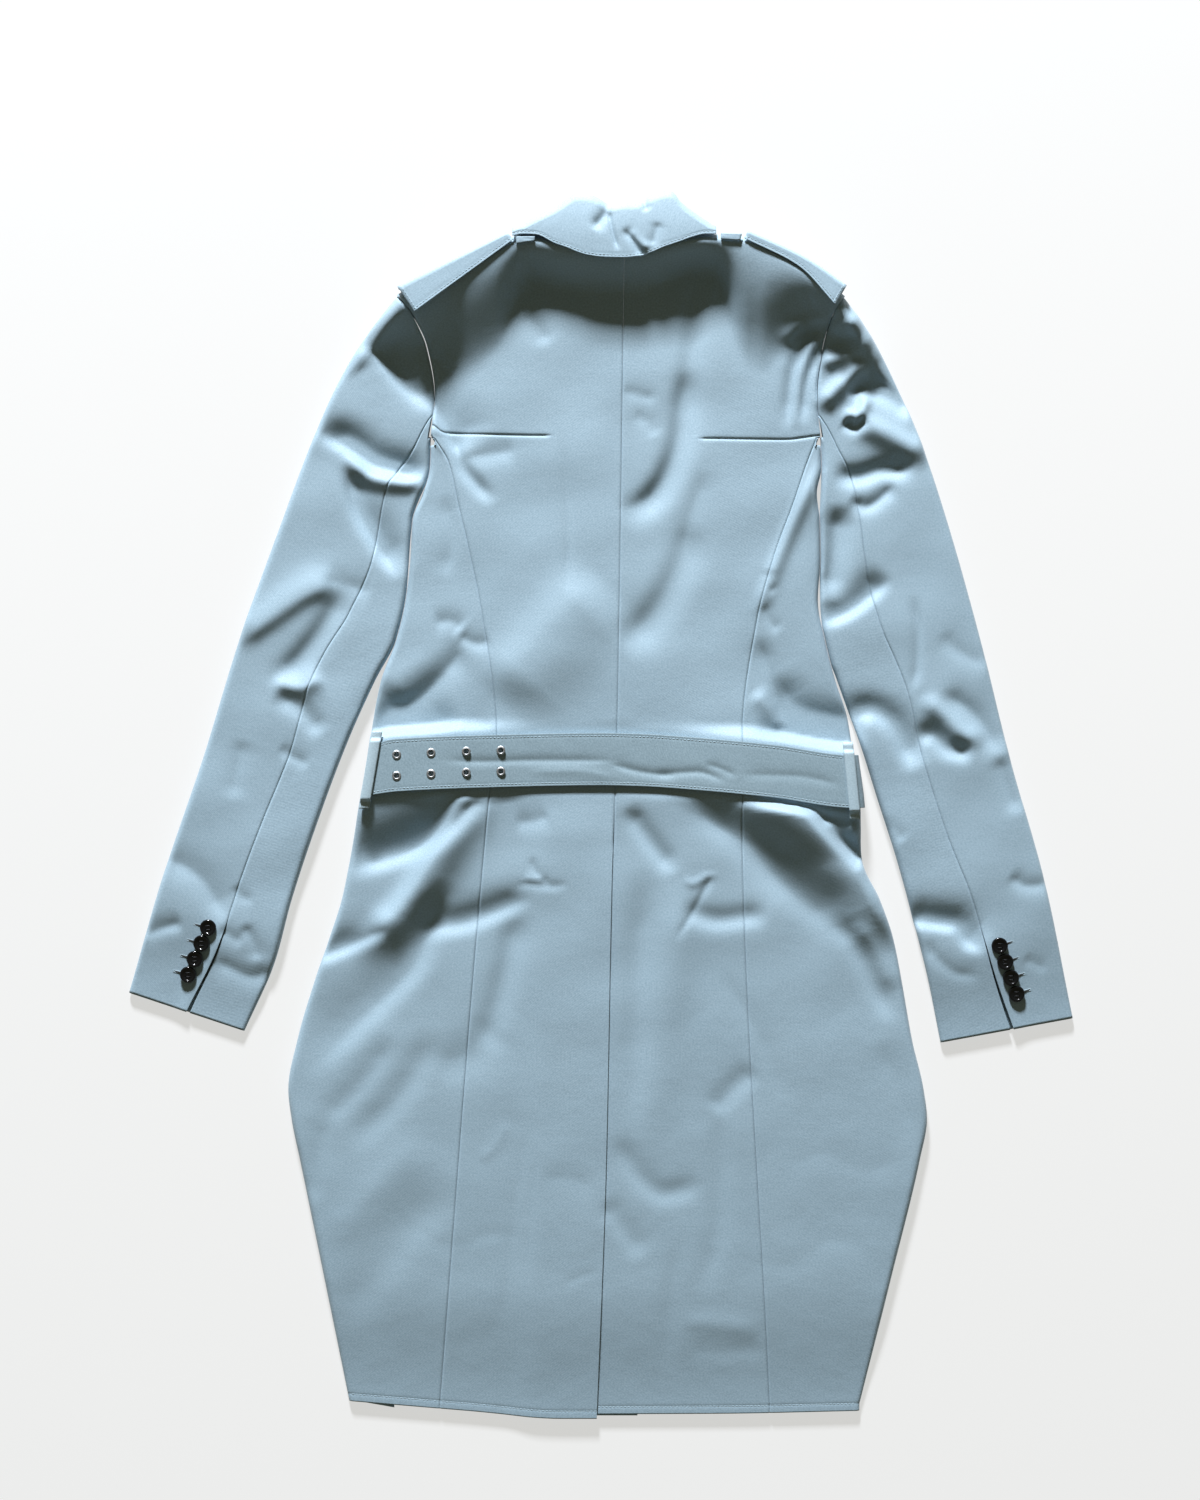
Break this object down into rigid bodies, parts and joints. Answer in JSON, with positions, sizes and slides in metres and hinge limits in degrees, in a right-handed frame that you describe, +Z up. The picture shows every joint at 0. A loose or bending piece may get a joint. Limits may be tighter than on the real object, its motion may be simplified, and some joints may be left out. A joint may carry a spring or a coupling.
{
  "type": "trench coat",
  "caption": "Belted trench coat laid flat on its front, back up: fall collar, shoulder straps, seamed sleeves with buttoned cuffs, side-back seams, waist belt in loops, long back vent.",
  "frame": {"origin": "On the surface that the coat lies on, under the middle of its outline.", "axes": "+Z up, out of the coat's back. +Y from the hem towards the collar. +X towards the wearer's right side, which is the right of the picture. The coat lies face down."},
  "size_m": [0.8134, 1.0531, 0.0389],
  "materials": {
    "gabardine": "fine cotton twill with a soft sheen",
    "belt_gabardine": "stiffened cotton twill",
    "loop_gabardine": "cotton twill, edges turned in",
    "button_resin": "polished black resin",
    "eyelet_nickel": "nickel plate",
    "buckle_nickel": "nickel plate"
  },
  "bodies": {
    "root": {"back_left": "gabardine", "back_right": "gabardine", "belt": "belt_gabardine", "belt_loop_left": "loop_gabardine", "belt_loop_right": "loop_gabardine", "buckle_frame": "buckle_nickel", "buckle_prong_1": "buckle_nickel", "buckle_prong_2": "buckle_nickel", "collar": "gabardine", "cuff_button_left_1": "button_resin", "cuff_button_left_2": "button_resin", "cuff_button_left_3": "button_resin", "cuff_button_left_4": "button_resin", "cuff_button_right_1": "button_resin", "cuff_button_right_2": "button_resin", "cuff_button_right_3": "button_resin", "cuff_button_right_4": "button_resin", "eyelet_1": "eyelet_nickel", "eyelet_2": "eyelet_nickel", "eyelet_3": "eyelet_nickel", "eyelet_4": "eyelet_nickel", "eyelet_5": "eyelet_nickel", "eyelet_6": "eyelet_nickel", "eyelet_7": "eyelet_nickel", "eyelet_8": "eyelet_nickel", "front_left": "gabardine", "front_right": "gabardine", "shoulder_strap_left": "gabardine", "shoulder_strap_right": "gabardine", "side_back_left": "gabardine", "side_back_right": "gabardine", "strap_keeper_left": "gabardine", "strap_keeper_right": "gabardine", "top_sleeve_left": "gabardine", "top_sleeve_right": "gabardine", "under_sleeve_left": "gabardine", "under_sleeve_right": "gabardine"}
  },
  "joints": []
}
